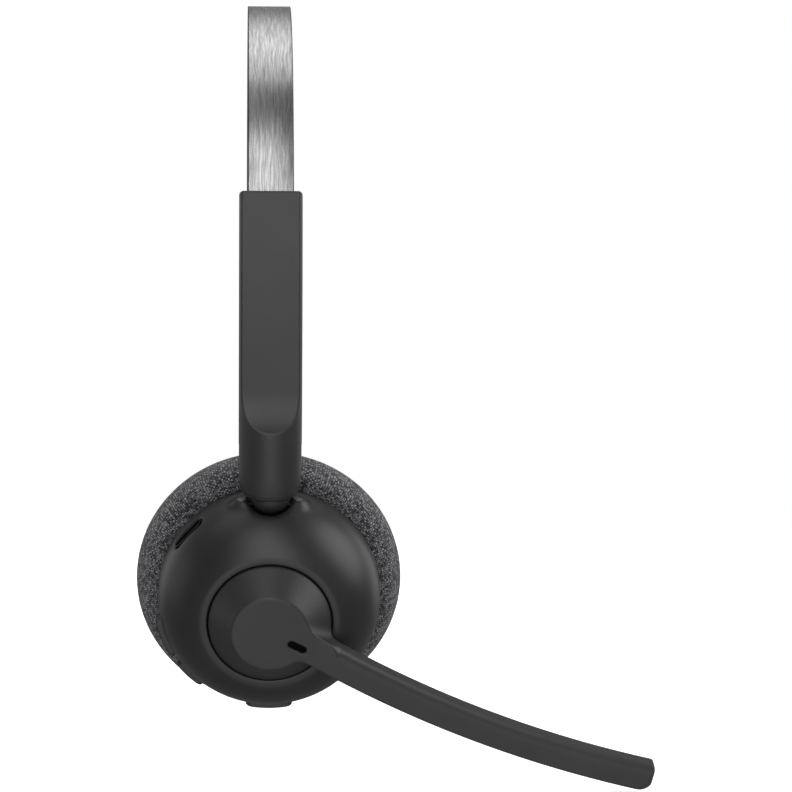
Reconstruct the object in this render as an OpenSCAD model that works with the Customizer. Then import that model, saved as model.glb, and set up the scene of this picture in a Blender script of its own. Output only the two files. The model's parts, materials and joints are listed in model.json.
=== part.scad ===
// Office headset: a sprung steel headband with two on-ear cups and a turning microphone boom.
// Frame: +Z up, +X forward for the wearer, -Y to the wearer's right. The origin is the
// middle of the crown pad's underside, where the headband rests on the head.

/* [Headband] */
// Width of the steel strip
strip_w = 10.5; // [9:0.5:11]
// Thickness of the steel strip
strip_t = 1.0; // [0.8:0.1:1.2]
// Radius of the strip's outer face over the crown
crown_r = 80; // [78:1:90]
// Distance from the pad's underside up to the strip's outer face
crown_rise = 7.0; // [6.5:0.5:8]
// Half of the angle that the crown pad covers
pad_half_angle = 33; // [25:1:36]
// Width of the crown pad
pad_w = 10; // [8:0.5:10]

/* [Stems] */
// Width of the stem, which is also the diameter of its barrel
stem_w = 14.5; // [14:0.5:15]
// Radius of the arc that the stem follows
side_r = 150; // [145:1:160]
// Angle that the stem covers along that arc
stem_arc = 26.7; // [26:0.1:28]
// Height of the stem's flat outer face above its axis
facet_h = 2.8; // [2.6:0.1:3]
// Radius of the scoop between the flat face and the barrel
scoop_r = 12; // [10:1:13]
// Length that each stem slides out along the strip
slide_travel = 25; // [20:1:25]

/* [Cups] */
// Lean of each cup's axis below the horizontal at rest
lean = 22; // [20:1:24]
// Distance from the middle of the headset to a cushion's centre
cup_out = 36; // [35:1:40]
// Distance from the pad's underside down to a cushion's centre
cup_drop = 135; // [130:1:140]
// Outer diameter of the ear cushion
cushion_d = 64; // [62:1:65]
// Thickness of the ear cushion before it is trimmed flat
cushion_t = 15.6; // [14:0.2:16]
// Diameter of the cup at its widest
cup_d = 53; // [52.5:0.1:53.5]
// Wall of the cup shell
cup_wall = 1.6; // [1.4:0.1:1.8]

/* [Boom] */
// Radius of the boom's curve
boom_r = 273; // [260:1:320]
// Angle that the boom covers along its curve
boom_arc = 17.3; // [12:0.1:18]
// Height of the boom arm, seen from the side
boom_w = 6.7; // [6:0.1:7]
// Thickness of the boom arm
boom_t = 5.3; // [5:0.1:5.5]
// Diameter of the disc at the middle of the hub
disc_d = 17.7; // [16:0.1:19]
// Diameter of the hub at its base
hub_d = 28.4; // [28:0.1:28.6]

/* [Hidden] */
$fn = 64;

// Colours
steel = [0.72, 0.72, 0.71];
black = [0.16, 0.16, 0.16];
charcoal = [0.22, 0.22, 0.23];
heather = [0.3, 0.3, 0.31];
leatherette = [0.12, 0.12, 0.12];
acetal = [0.85, 0.85, 0.82];
board_green = [0.08, 0.3, 0.16];
foil = [0.75, 0.76, 0.78];
far = 200;      // longer than any cut needs
touch = 0.01;   // overlap of two solids that are joined into one

// Cup frame: x forward, y up the cup's face, z out along the cup's axis, and the
// origin at the cushion's centre. Heights along z:
axis_z = 14.5;      // swivel axis
rim_z = 9.6;        // widest place of the cup
wall_z = 13.5;      // end of the side wall and start of the dome
mouth_z = 7.6;      // back edge of the cup shell
baffle_z = 7.8;     // back face of the baffle
ledge_z = 9.3;      // front face of the baffle
floor_z = 24.2;     // floor of the hub recess
crest_z = 27;       // flat ring around the hub
disc_z = 33.4;      // face of the hub's disc and of the boom
flat_z = -7.4;      // flattened face of the cushion against the ear
foam_z = 6.2;       // back face of the cushion
crest_r = 15.9;     // outer radius of the flat ring
recess_r = 14.45;   // radius of the hub recess
journal_r = 4;      // radius of the hub's journal
ball_y = 27.2;      // height of the knuckle ball above the cushion's centre
pin_y = 24.6;       // height of the tilt pin
ball_r = 4.9;
pocket_r = 5.7;
pin_r = 0.75;
run = 0.05;         // radial clearance of a running fit
gap = 0.3;          // clearance between pieces that move past each other
cup_r = cup_d / 2;
dome_start_r = cup_r - 0.2;
dome_r = (pow(dome_start_r - crest_r, 2) + pow(crest_z - wall_z, 2))
       / (2 * (dome_start_r - crest_r));
dome_x = dome_start_r - dome_r;

// The knuckle ball's centre and the side arc's centre, in the plane of Y and Z.
// "out" is the distance from the headset's middle plane.
ball_out = cup_out + axis_z * cos(lean) + ball_y * sin(lean);
ball_z = -cup_drop - axis_z * sin(lean) + ball_y * cos(lean);
arc_out = ball_out - side_r * cos(lean);
arc_z = ball_z + side_r * sin(lean);
stem_top = lean - stem_arc;                      // angle of the stem's top edge
slide_angle = slide_travel / side_r * 180 / PI;  // how far the stem turns about the arc
strip_out_r = side_r + 1;                        // outer face of the strip in the stem
strip_in_r = strip_out_r - strip_t;
strip_end = 11.6;                                // angle of the strip's lower end

// The shoulder arc joins the crown arc to the side arc, tangent to both.
end_y = arc_out + strip_out_r * cos(stem_top);
end_z = arc_z - strip_out_r * sin(stem_top);
crown_z = crown_rise - crown_r;
shoulder_r = (pow(crown_r, 2) - pow(end_y, 2) - pow(end_z - crown_z, 2))
    / (2 * (crown_r - end_y * cos(stem_top) + (end_z - crown_z) * sin(stem_top)));
shoulder_y = end_y - shoulder_r * cos(stem_top);
shoulder_z = end_z + shoulder_r * sin(stem_top);
crown_half = atan2(shoulder_y, shoulder_z - crown_z);

// Rotational positions on the cup's rim, counter-clockwise from forward
usb_angle = 138;
volume_up_angle = 201;
volume_down_angle = 225;
power_angle = 270;
screw_angles = [20, 165, 305];
screw_ring_r = 22.4;
button_z = [10.4, 14.4];
power_z = [11.8, 16.2];

// ---------------------------------------------------------------- placing

// Draws on the right, or mirrored on the left
module side(left) { if (left) mirror([0, 1, 0]) children(); else children(); }

// The cup frame described above
module cup_frame() translate([0, -cup_out, -cup_drop]) rotate([90 + lean, 0, 0]) children();

// The same directions with the origin at the knuckle ball
module ball_frame() cup_frame() translate([0, ball_y, axis_z]) children();

// Turns z into the cup frame's y, for pieces that are round about the swivel axis
module upright() rotate([-90, 0, 0]) children();

// Sweeps a profile of [radius, x] about an arc centre, between two angles below the
// outward direction
module sweep_at(y, z, low, high)
    translate([0, -y, z]) rotate([90, 0, 90]) rotate([0, 0, 180 + low])
        rotate_extrude(angle = high - low, $fn = 200) children();

module side_sweep(low, high) sweep_at(arc_out, arc_z, low, high) children();

// Places a piece on the side arc: x forward, y up along the arc, z outward
module on_side_arc(angle, r)
    translate([0, -arc_out, arc_z]) rotate([angle, 0, 0]) translate([0, -r, 0])
        rotate([90, 0, 0]) children();

// A band of the sweep profile between two radii, centred on x = 0
module band(r0, r1, w) translate([r0, -w / 2]) square([r1 - r0, w]);

function arc_points(cx, cy, r, a0, a1, n) =
    [for (i = [0 : n]) [cx + r * cos(a0 + (a1 - a0) * i / n), cy + r * sin(a0 + (a1 - a0) * i / n)]];

// ---------------------------------------------------------------- headband

// Half of one face of the strip from the crown to its lower end, as [outward, up]; the
// face lies at a depth below the strip's outer face
function strip_face(depth) = concat(
    arc_points(0, crown_z, crown_r - depth, 90, 90 - crown_half, 24),
    arc_points(shoulder_y, shoulder_z, shoulder_r - depth, 88 - crown_half, -stem_top, 20),
    arc_points(arc_out, arc_z, strip_out_r - depth, -stem_top - 1, -strip_end, 10));

function reversed(points) = [for (i = [len(points) - 1 : -1 : 0]) points[i]];
function mirrored(points) = [for (p = points) [-p[0], p[1]]];
// A face from one end of the strip over the crown to the other, the crown point once
function whole_face(depth) = let (half = strip_face(depth))
    concat(reversed(mirrored(half)), [for (i = [1 : len(half) - 1]) half[i]]);

module steel_strip() color(steel) rotate([90, 0, 90])
    linear_extrude(strip_w, center = true)
        polygon(concat(whole_face(0), reversed(whole_face(strip_t))));

rail_r = crown_r - strip_t - 1.4;   // underside of the rail
rail_top = crown_r - strip_t - 0.03; // top of the rail, just under the strip
pad_r = crown_r - crown_rise;       // underside of the pad

module pad_rail() color(black) difference() {
    sweep_at(0, crown_z, -90 - pad_half_angle, -90 + pad_half_angle)
        band(rail_r, rail_top, pad_w - 1);
    rivet_spots() cylinder(r = 1, h = far, center = true);
}

// Spots on the crown arc where a rivet holds the rail to the strip
module rivet_spots() for (a = [-24, 24])
    translate([0, 0, crown_z]) rotate([a, 0, 0]) children();

module rail_rivets() color(steel) rivet_spots()
    translate([0, 0, rail_r]) cylinder(r = 1, h = rail_top - rail_r);

module crown_pad() color(leatherette)
    sweep_at(0, crown_z, -90 - pad_half_angle, -90 + pad_half_angle)
        polygon([
            [rail_r, -pad_w / 2], [rail_r, pad_w / 2], [pad_r + 1.6, pad_w / 2],
            [pad_r, pad_w / 2 - 2], [pad_r, 2 - pad_w / 2], [pad_r + 1.6, -pad_w / 2]
        ]);

// ---------------------------------------------------------------- slider

stop_t = 1.5;                      // thickness of the end stop behind the strip
stop_arc = 1.1;                    // angle that it covers
channel_play = 0.15;               // play between the strip and its channel
split_r = strip_in_r + strip_t / 2;
back_r = side_r - 4.5;             // flat inner face of the stem
barrel_r = stem_w / 2;
barrel_top = 12.3;                 // angle where the scoop starts
spring_arc = [stem_top + 0.6, stem_top + 3.9];
cavity_arc = [strip_end - stop_arc - slide_angle - 0.25, strip_end + 0.35];
bush_r = 3.9;
bush_top = 9.4;                    // height of the bush's top above the ball
swivel_r = 2.5;
nose = 6.2;                        // length of the barrel's rounded end
nose_r = 6;                        // radius of the barrel's lower face
nose_top_r = barrel_r + 0.3;
barrel_low = 0.2;                  // height of the barrel's lower face above the ball

module end_stop() color(black)
    side_sweep(strip_end - stop_arc, strip_end)
        band(strip_in_r - stop_t, strip_in_r - 0.03, strip_w - 0.6);

// The outside of the stem before it is split into its two shells
module stem_solid() {
    difference() {
        side_sweep(stem_top, lean + 0.5) translate([side_r, 0]) circle(r = barrel_r);
        side_sweep(stem_top - 1, barrel_top) band(side_r + facet_h, side_r + 9, far);
        side_sweep(stem_top - 1, barrel_top + 2) band(side_r - 12, back_r, far);
        on_side_arc(barrel_top, side_r + facet_h + scoop_r) rotate([0, 90, 0])
            cylinder(r = scoop_r, h = far, center = true, $fn = 128);
        ball_frame() upright() difference() {
            translate([0, 0, -9]) cylinder(r = 2 * barrel_r, h = 9 + nose);
            rotate_extrude() polygon(concat([[0, barrel_low]],
                [for (i = [0 : 6]) let (a = 15 * i)
                    [nose_r + (nose_top_r - nose_r) * sin(a), nose - (nose - barrel_low) * cos(a)]],
                [[nose_top_r, nose + 1], [0, nose + 1]]));
        }
    }
}

// Everything that is hollow inside the stem
module stem_hollows() {
    side_sweep(stem_top - 1, strip_end + 0.35)
        band(strip_in_r - channel_play, strip_out_r + channel_play, strip_w + 2 * channel_play);
    side_sweep(cavity_arc[0], cavity_arc[1])
        band(strip_in_r - stop_t - 0.3, strip_in_r, strip_w);
    side_sweep(spring_arc[0] - 0.05, spring_arc[1] + 0.05)
        band(strip_in_r - 1.6, strip_in_r, 6.4);
    ball_frame() upright() {
        translate([0, 0, -1]) cylinder(r = bush_r, h = bush_top + 1);
        translate([0, 0, bush_top - touch]) cylinder(r = bush_r + 0.6, h = 3.4);
    }
    stem_screw_spots() {
        translate([0, 0, -far]) cylinder(r = 1.6, h = far - 3.2);
        translate([0, 0, -4]) cylinder(r = 0.8, h = 5.2);
    }
}

module stem_screw_spots() for (a = [13.3, 15.4]) on_side_arc(a, side_r) children();

// Everything on the outer side of the line along which the shells part
module outer_half() {
    side_sweep(stem_top - 2, lean - 3) band(split_r, split_r + 12, far);
    ball_frame() translate([0, 9, 10 + split_r - side_r]) cube([30, 20, 20], center = true);
}

module stem_cover() color(charcoal) difference() {
    intersection() { stem_solid(); outer_half(); }
    stem_hollows();
}

module stem_back() color(black) difference() {
    stem_solid();
    outer_half();
    stem_hollows();
}

module stem_screws() color(steel) stem_screw_spots() {
    translate([0, 0, -4.2]) cylinder(r = 1.5, h = 1);
    translate([0, 0, -3.2 - touch]) cylinder(r = 0.8, h = 4.3);
}

module detent_spring() color(steel)
    side_sweep(spring_arc[0], spring_arc[1]) difference() {
        band(strip_in_r - 1.55, strip_in_r - 0.25, 6);
        band(strip_in_r - 1.25, strip_in_r - 0.55, 5);
    }

module swivel_bush() color(acetal) ball_frame() upright() difference() {
    translate([0, 0, barrel_low + 0.1]) cylinder(r = bush_r, h = bush_top - barrel_low - 0.1);
    cylinder(r = swivel_r + run, h = far, center = true);
}

// ---------------------------------------------------------------- knuckle

clip_low = bush_top + 0.35;
clip_t = 0.6;

module knuckle() color(charcoal) ball_frame() difference() {
    upright() rotate_extrude() polygon(concat(
        arc_points(0, 0, ball_r, -90, 0, 10),
        [[swivel_r, 0], [swivel_r, clip_low - 0.05], [swivel_r - 0.5, clip_low - 0.05],
         [swivel_r - 0.5, clip_low + clip_t + 0.05], [swivel_r, clip_low + clip_t + 0.05],
         [swivel_r, clip_low + 2], [0, clip_low + 2]]));
    translate([0, pin_y - ball_y, 0]) rotate([0, 90, 0])
        cylinder(r = pin_r + run, h = far, center = true);
    upright() translate([0, 0, 0.8]) cylinder(r = 1.1, h = far);
}

module swivel_clip() color(steel) ball_frame() upright() translate([0, 0, clip_low])
    difference() {
        cylinder(r = swivel_r + 1.5, h = clip_t);
        translate([0, 0, -1]) cylinder(r = swivel_r - 0.45, h = 3);
        translate([0, 3, 0]) cube([2, 6, 3], center = true);
    }

pin_half = 7.3;

module tilt_pin() color(steel) cup_frame() translate([0, pin_y, axis_z]) rotate([0, 90, 0])
    cylinder(r = pin_r, h = 2 * pin_half, center = true);

// ---------------------------------------------------------------- cup

function dome_outline() = concat(
    [[cup_r - 0.9, mouth_z], [cup_r - 0.3, mouth_z + 0.6], [cup_r, rim_z], [cup_r - 0.05, 12]],
    arc_points(dome_x, wall_z, dome_r, 0, acos((crest_r - dome_x) / dome_r), 12));

module cup_outside() rotate_extrude($fn = 128)
    polygon(concat([[0, mouth_z]], dome_outline(), [[0, crest_z]]));

seat_r = 24.9;                     // inner radius of the mouth, where the baffle sits
hollow_x = dome_x;
hollow_r = dome_r - cup_wall;
ceiling_z = crest_z - 1.8;
under_floor_z = floor_z - cup_wall;

module cup_hollow() rotate_extrude($fn = 128) polygon(concat(
    [[0, mouth_z - 1], [seat_r, mouth_z - 1], [seat_r, ledge_z], [hollow_x + hollow_r, ledge_z]],
    arc_points(hollow_x, wall_z, hollow_r, 0, asin((ceiling_z - wall_z) / hollow_r), 10),
    [[recess_r + cup_wall, ceiling_z], [recess_r + cup_wall, under_floor_z],
     [0, under_floor_z]]));

// Block in the top of the cup that holds the tilt pin around the knuckle
module socket_block() translate([-9.5, 20, ledge_z + touch]) cube([19, 10, 11.5]);

module screw_spots() for (a = screw_angles) rotate(a) translate([screw_ring_r, 0, 0]) children();

module screw_bosses() screw_spots() translate([0, 0, ledge_z - touch])
    cylinder(r = 2.4, h = 5.9, $fn = 32);

// Room for the knuckle, open towards the outside, and for the barrel above it
module knuckle_room() {
    translate([0, ball_y, axis_z]) {
        rotate([-lean, 0, 0]) rotate_extrude() polygon(concat(
            arc_points(0, 0, pocket_r, -90, 0, 8), [[pocket_r, 30], [0, 30]]));
        upright() translate([0, 0, -1.6]) cylinder(r = barrel_r + 0.35, h = 20);
    }
    translate([0, pin_y, axis_z]) rotate([0, 90, 0])
        cylinder(r = pin_r + 0.01, h = 2 * pin_half + 0.1, center = true);
}

// A slot with round ends, long along x
module slot(l, w, h) {
    translate([-(l - w) / 2, -w / 2, 0]) cube([l - w, w, h]);
    for (s = [-1, 1]) translate([s * (l - w) / 2, 0, 0]) cylinder(r = w / 2, h = h);
}

// Turns a piece drawn with its outside towards -y to a place on the cup's rim
module on_rim(angle) rotate(angle - 270) children();

module cup_shell(left) color(black) cup_frame() difference() {
    cup_outside();
    difference() {
        cup_hollow();
        socket_block();
        screw_bosses();
    }
    translate([0, 0, floor_z]) cylinder(r = recess_r, h = far, $fn = 128);
    cylinder(r = journal_r + run, h = far);
    knuckle_room();
    screw_spots() translate([0, 0, ledge_z - 1]) cylinder(r = 0.91, h = 5.2);
    if (!left) {
        on_rim(usb_angle) translate([0, -18, usb_z]) rotate([90, 0, 0]) slot(usb_w + 0.5, usb_h + 0.5, 20);
        on_rim(volume_up_angle) button_window(volume_up_l, button_z);
        on_rim(volume_down_angle) button_window(volume_down_l, button_z);
        on_rim(power_angle) button_window(power_l, power_z);
    }
}

module baffle() color(black) cup_frame() difference() {
    translate([0, 0, baffle_z]) cylinder(r = seat_r - run, h = ledge_z - baffle_z, $fn = 128);
    cylinder(r = 13, h = far);
    screw_spots() {
        cylinder(r = 0.95, h = far);
        translate([0, 0, baffle_z - 1]) cylinder(r = 1.75, h = 1.8);
    }
}

module baffle_screws() color(steel) cup_frame() screw_spots() {
    translate([0, 0, baffle_z]) cylinder(r = 1.7, h = 0.8);
    translate([0, 0, baffle_z + 0.8 - touch]) cylinder(r = 0.9, h = 4.6);
}

module driver_frame() color(charcoal) cup_frame() rotate_extrude($fn = 96) polygon([
    [13.2, ledge_z], [16, ledge_z], [16, 11.6], [10, 13.2], [9.2, 13.2],
    [9.2, 12.4], [14.6, 11], [14.6, 10.1], [13.2, 10.1]
]);

module driver_cone() color(acetal) cup_frame() rotate_extrude($fn = 96) polygon(concat(
    [[0, 9.5]], [[6, 10.4], [9, 10.6], [13.1, 9.6], [13.1, 9.9], [9, 10.95], [6, 10.75], [0, 9.9]]));

module driver_magnet() color(steel) cup_frame() {
    translate([0, 0, 12.45]) cylinder(r = 9.1, h = 0.9);
    translate([0, 0, 13.2]) cylinder(r = 8.6, h = 1.9);
}

module scrim() color(heather) cup_frame() translate([0, 0, baffle_z - 0.5])
    cylinder(r = 16.4, h = 0.5, $fn = 96);

cushion_tube = cushion_t / 2;
cushion_mid = cushion_d / 2 - cushion_tube;

module cushion_ring() color(black) cup_frame() translate([0, 0, foam_z]) difference() {
    cylinder(r = cup_r - 1, h = mouth_z - foam_z - 0.02, $fn = 96);
    translate([0, 0, -1]) cylinder(r = 16.6, h = 9, $fn = 96);
}

module cushion() color(heather) cup_frame() intersection() {
    rotate_extrude($fn = 96) translate([cushion_mid, 0]) circle(r = cushion_tube);
    translate([0, 0, flat_z]) cylinder(r = far, h = foam_z - flat_z);
}

// ---------------------------------------------------------------- buttons and sockets

volume_up_l = 10.6;
volume_down_l = 8.4;
power_l = 11;
button_play = 0.25;
button_in_r = 23.5;

// A button cap whose outer face follows the rim, with a flange that keeps it in
// lip is how far the retaining flange reaches past each end of the button
module button(l, z, proud, lip = [0.8, 0.8]) {
    intersection() {
        translate([0, 0, z[0]]) difference() {
            cylinder(r = dome_start_r + proud, h = z[1] - z[0], $fn = 128);
            translate([0, 0, -1]) cylinder(r = button_in_r, h = 9);
        }
        translate([-l / 2, -40, 0]) cube([l, 40, 40]);
    }
    intersection() {
        translate([0, 0, z[0] - 0.5]) difference() {
            cylinder(r = button_in_r + 0.6, h = z[1] - z[0] + 0.9, $fn = 128);
            translate([0, 0, -1]) cylinder(r = button_in_r, h = 9);
        }
        translate([-l / 2 - lip[0], -40, 0]) cube([l + lip[0] + lip[1], 40, 40]);
    }
}

module button_window(l, z)
    translate([-l / 2 - button_play, -40, z[0] - button_play])
        cube([l + 2 * button_play, 20, z[1] - z[0] + 2 * button_play]);

module volume_up_button() color(charcoal) cup_frame() on_rim(volume_up_angle)
    button(volume_up_l, button_z, 0.8, [0.8, 0]);
module volume_down_button() color(charcoal) cup_frame() on_rim(volume_down_angle)
    button(volume_down_l, button_z, 0.8, [0, 0.8]);
module power_button() color(charcoal) cup_frame() on_rim(power_angle)
    button(power_l, power_z, 1.25);

usb_w = 8.94;
usb_h = 3.26;
usb_z = 13.9;
usb_mouth = 25.6;
usb_depth = 7.3;
board_z = usb_z + usb_h / 2;
board_t = 1;
board_r = 22.3;

module usb_socket() color(steel) cup_frame() on_rim(usb_angle)
    translate([0, -usb_mouth, usb_z]) rotate([-90, 0, 0]) {
        difference() {
            slot(usb_w, usb_h, usb_depth);
            translate([0, 0, -1]) slot(usb_w - 0.6, usb_h - 0.6, usb_depth);
        }
        translate([-3.3, -0.35, 1]) cube([6.6, 0.7, usb_depth - 1.2]);
    }

// One tactile switch behind each button
module button_switches() color(foil) cup_frame() {
    for (b = [[volume_up_angle, button_z], [volume_down_angle, button_z], [power_angle, power_z]])
        on_rim(b[0]) translate([-1.8, -button_in_r + 0.75, board_z - 2.6]) cube([3.6, 2.6, 2.6]);
}

module main_board() color(board_green) cup_frame() difference() {
    translate([0, 0, board_z]) cylinder(r = board_r, h = board_t, $fn = 96);
    translate([-10, 19, board_z - 1]) cube([20, 10, 4]);
    translate([0, 0, board_z - 1]) cylinder(r = 5, h = 4);
}

module battery() color(foil) side(true) cup_frame()
    translate([-15, -11, 15.8]) cube([30, 22, 4.2]);

// ---------------------------------------------------------------- boom

hub_r = hub_d / 2;
disc_r = disc_d / 2;
base_top = 26.3;
cone_low = 27.2;
arm_low = disc_z - boom_t;
// The curve starts at the hub's edge and turns upward around this centre
arm_start = 239;
arm_x = 162.5 + (boom_r - 291) * cos(59);
arm_y = 243.5 + (boom_r - 291) * sin(59);
arm_end = arm_start + boom_arc;
channel_w = boom_w - 1.6;
cover_t = 1;

// Sweeps a profile of [radius, height] along the boom's curve
module arm_sweep(low, high) translate([arm_x, arm_y, 0]) rotate([0, 0, low])
    rotate_extrude(angle = high - low, $fn = 200) translate([boom_r, 0]) children();

module arm_spot(angle) translate([arm_x, arm_y, 0]) rotate(angle) translate([boom_r, 0, 0]) children();

module hub_outside(top = disc_r) rotate_extrude($fn = 128)
    polygon([[0, base_top], [hub_r, base_top], [hub_r, cone_low], [top, disc_z], [0, disc_z]]);

module port_shape(l, w, z, h) translate([6.2, -3.2, z]) rotate(-27) slot(l, w, h);

module boom_arm() color(charcoal) cup_frame() difference() {
    union() {
        hub_outside();
        arm_sweep(arm_start - 1.2, arm_end) translate([-boom_w / 2, arm_low])
            polygon([[0.5, 0], [boom_w - 0.9, 0], [boom_w, 0.9], [boom_w, boom_t - 0.3],
                     [boom_w - 0.3, boom_t], [1.1, boom_t], [0, boom_t - 1.1], [0, 0.5]]);
    }
    rotate_extrude($fn = 96) polygon([[0, base_top - 1], [hub_r - 1.5, base_top - 1],
        [hub_r - 1.5, cone_low - 0.3], [disc_r - 1.2, disc_z - 1.5], [0, disc_z - 1.5]]);
    arm_sweep(arm_start, arm_end - 0.3)
        translate([-channel_w / 2, arm_low - 1]) square([channel_w, boom_t - 0.7]);
    port_shape(4.6, 1.7, disc_z - 5, 10);
}

module port_window() color(black) cup_frame()
    port_shape(4.56, 1.66, disc_z - 1.4, 0.8);

module boom_hub_base() color(black) cup_frame() difference() {
    union() {
        translate([0, 0, floor_z + gap]) cylinder(r = hub_r, h = base_top - floor_z - gap, $fn = 128);
        rotate_extrude() polygon([
            [0, 21], [journal_r, 21], [journal_r, 21.8], [journal_r - 0.6, 21.8],
            [journal_r - 0.6, 22.3], [journal_r, 22.3], [journal_r, 25], [0, 25]]);
    }
    cylinder(r = 2, h = far);
    arm_sweep(arm_start, arm_start + 3)
        translate([-channel_w / 2, base_top + 0.2]) square([channel_w, 2]);
}

module boom_clip() color(steel) cup_frame() translate([0, 0, 21.83]) difference() {
    cylinder(r = journal_r + 1.7, h = 0.44);
    translate([0, 0, -1]) cylinder(r = journal_r - 0.55, h = 3);
    translate([0, 4, 0]) cube([3.4, 8, 3], center = true);
}

module boom_washer() color(steel) cup_frame() translate([0, 0, floor_z]) difference() {
    cylinder(r = 9, h = gap - run);
    translate([0, 0, -1]) cylinder(r = 4.6, h = 3);
}

capsule_angle = arm_end - 0.9;

module boom_back_cover() color(black) cup_frame() difference() {
    arm_sweep(arm_start + 0.35, arm_end - 0.33)
        translate([-channel_w / 2 + 0.03, arm_low]) square([channel_w - 0.06, cover_t]);
    arm_spot(capsule_angle) cylinder(r = 1.3, h = far);
    rotate_extrude() square([hub_r + 0.2, far]);
}

module mic_capsule() color(steel) cup_frame() arm_spot(capsule_angle)
    translate([0, 0, arm_low + cover_t + 0.05]) cylinder(r = 2.1, h = 1.5);

module mic_mesh() color(steel) cup_frame() arm_spot(capsule_angle)
    translate([0, 0, arm_low + 0.3]) cylinder(r = 1.28, h = 0.5);

module left_hub_cap() color(charcoal) side(true) cup_frame() difference() {
    union() {
        hub_outside();
        translate([0, 0, floor_z]) cylinder(r = hub_r, h = base_top - floor_z + touch, $fn = 128);
    }
    rotate_extrude($fn = 96) polygon([[0, floor_z - 1], [hub_r - 1.5, floor_z - 1],
        [hub_r - 1.5, cone_low - 0.3], [disc_r - 1.2, disc_z - 1.5], [0, disc_z - 1.5]]);
}

// ---------------------------------------------------------------- nodes

steel_strip();
pad_rail();
crown_pad();
rail_rivets();
for (left = [false, true]) {
    name = left ? "left_" : "right_";
    side(left) end_stop();
    side(left) stem_cover();
    side(left) stem_back();
    side(left) stem_screws();
    side(left) detent_spring();
    side(left) swivel_bush();
    side(left) knuckle();
    side(left) swivel_clip();
    side(left) tilt_pin();
    side(left) cup_shell(left);
    side(left) baffle();
    side(left) baffle_screws();
    side(left) driver_frame();
    side(left) driver_cone();
    side(left) driver_magnet();
    side(left) scrim();
    side(left) cushion_ring();
    side(left) cushion();
}
main_board();
button_switches();
usb_socket();
volume_up_button();
volume_down_button();
power_button();
boom_arm();
boom_hub_base();
boom_back_cover();
mic_capsule();
mic_mesh();
port_window();
boom_clip();
boom_washer();
battery();
left_hub_cap();
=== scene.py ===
import json
import math

import bpy
import numpy as np
from mathutils import Matrix, Vector


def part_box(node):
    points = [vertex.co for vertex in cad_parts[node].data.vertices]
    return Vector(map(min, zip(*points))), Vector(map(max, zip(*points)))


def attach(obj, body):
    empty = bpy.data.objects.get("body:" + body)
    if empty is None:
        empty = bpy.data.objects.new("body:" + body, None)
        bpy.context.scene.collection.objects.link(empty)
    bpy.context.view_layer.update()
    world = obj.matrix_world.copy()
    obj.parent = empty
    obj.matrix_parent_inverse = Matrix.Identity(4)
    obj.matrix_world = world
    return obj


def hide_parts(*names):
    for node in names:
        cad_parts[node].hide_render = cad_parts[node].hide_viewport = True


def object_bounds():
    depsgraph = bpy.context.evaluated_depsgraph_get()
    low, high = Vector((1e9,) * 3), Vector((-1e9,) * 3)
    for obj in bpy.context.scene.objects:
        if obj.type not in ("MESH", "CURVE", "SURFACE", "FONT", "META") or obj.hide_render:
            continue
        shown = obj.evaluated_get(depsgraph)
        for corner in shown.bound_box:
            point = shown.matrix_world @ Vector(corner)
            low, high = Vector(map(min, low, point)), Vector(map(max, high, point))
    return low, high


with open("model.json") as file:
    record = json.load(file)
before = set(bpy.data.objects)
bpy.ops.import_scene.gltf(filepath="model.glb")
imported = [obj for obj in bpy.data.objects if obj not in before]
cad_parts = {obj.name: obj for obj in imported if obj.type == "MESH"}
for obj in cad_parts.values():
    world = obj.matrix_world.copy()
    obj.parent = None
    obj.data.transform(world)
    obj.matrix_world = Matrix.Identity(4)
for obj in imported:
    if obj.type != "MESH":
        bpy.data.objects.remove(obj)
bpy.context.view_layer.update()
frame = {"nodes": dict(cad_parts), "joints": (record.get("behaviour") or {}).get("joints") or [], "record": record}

MM = 0.001

# ---------------------------------------------------------------- the frame's own places

JOINTS = {j["name"]: j for j in frame["joints"]}
SIDES = ("right", "left")


def joint_place(name):
    """A joint's point in millimetres and its axis."""
    j = JOINTS[name]
    return Vector(j["pos_m"]) / MM, Vector(j["axis"]).normalized()


# Sizes in millimetres that the looks share with the design. Heights in the cup frame run
# out along the cup's axis from the cushion's centre; the frame's x is forward, y up the cup.
AXIS_Z = 14.5          # swivel axis
BALL_Y = 27.2          # knuckle ball above the cushion's centre
MOUTH_Z = 7.6          # back edge of the cup shell
WALL_Z = 11.6          # where the side wall turns into the dome
CREST_Z = 27.0         # flat ring round the hub
FLOOR_Z = 24.2         # floor of the hub recess
DISC_Z = 33.4          # face of the hub's disc and of the boom
RIM_R = 26.0           # radius where the dome starts
CREST_R = 15.9
RECESS_R = 14.45
HUB_R = 14.2
DISC_R = 8.85
CONE_LOW = 27.2
HUB_LOW = 26.3
CUP_WALL = 1.6
JOURNAL_R = 4.0
BALL_R = 4.9
BARREL_R = 7.25
FACET_H = 2.8
SCOOP_R = 12.0
SIDE_R = 150.0
STRIP_W, STRIP_T = 10.5, 1.0
STRIP_MID = STRIP_T / 2    # the strip's middle above the stem's axis
BUSH_R, BUSH_TOP = 3.95, 9.4
CUSHION_MID_R = 24.2
CUSHION_TUBE_R = 7.8
CUSHION_BACK = 6.2
BOOM_R = 273.0
BOOM_START = math.radians(239)
BOOM_END = math.radians(239 + 17.3)
BOOM_CENTRE = (153.23, 228.07)
BOOM_LENGTH = (BOOM_END - BOOM_START) * BOOM_R
BOOM_T = 5.3
COVER_HALF, COVER_T = 2.5, 1.0
HUB_WALL = 1.5

HUB_AXIS = joint_place("boom_pivot")[1]
BALL, UP = joint_place("right_swivel")
ARC_CENTRE = joint_place("right_slide")[0]
LEAN = math.atan2(-HUB_AXIS.z, -HUB_AXIS.y)
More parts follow.
